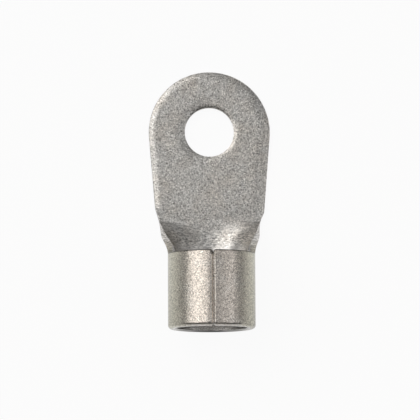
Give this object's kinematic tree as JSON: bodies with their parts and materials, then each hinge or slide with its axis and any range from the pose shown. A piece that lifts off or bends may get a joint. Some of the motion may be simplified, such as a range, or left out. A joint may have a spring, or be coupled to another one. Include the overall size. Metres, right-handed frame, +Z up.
{
  "type": "ring terminal",
  "caption": "Bare crimp ring terminal: a flat ring and tapered tongue run through a trough into a rolled, butt-seamed wire barrel.",
  "frame": {"origin": "centre of the stud hole, on the underside of the tongue", "axes": "+Z up, out of the tongue's upper face; +Y from the wire barrel to the ring, along the terminal; +X across"},
  "size_m": [0.0164, 0.0355, 0.0118],
  "materials": {
    "tinned_copper": "copper sheet with a matte tin plate, fine mottled grain, satin sheen on the rolled barrel"
  },
  "bodies": {
    "root": {"ring_terminal": "tinned_copper"}
  },
  "joints": []
}
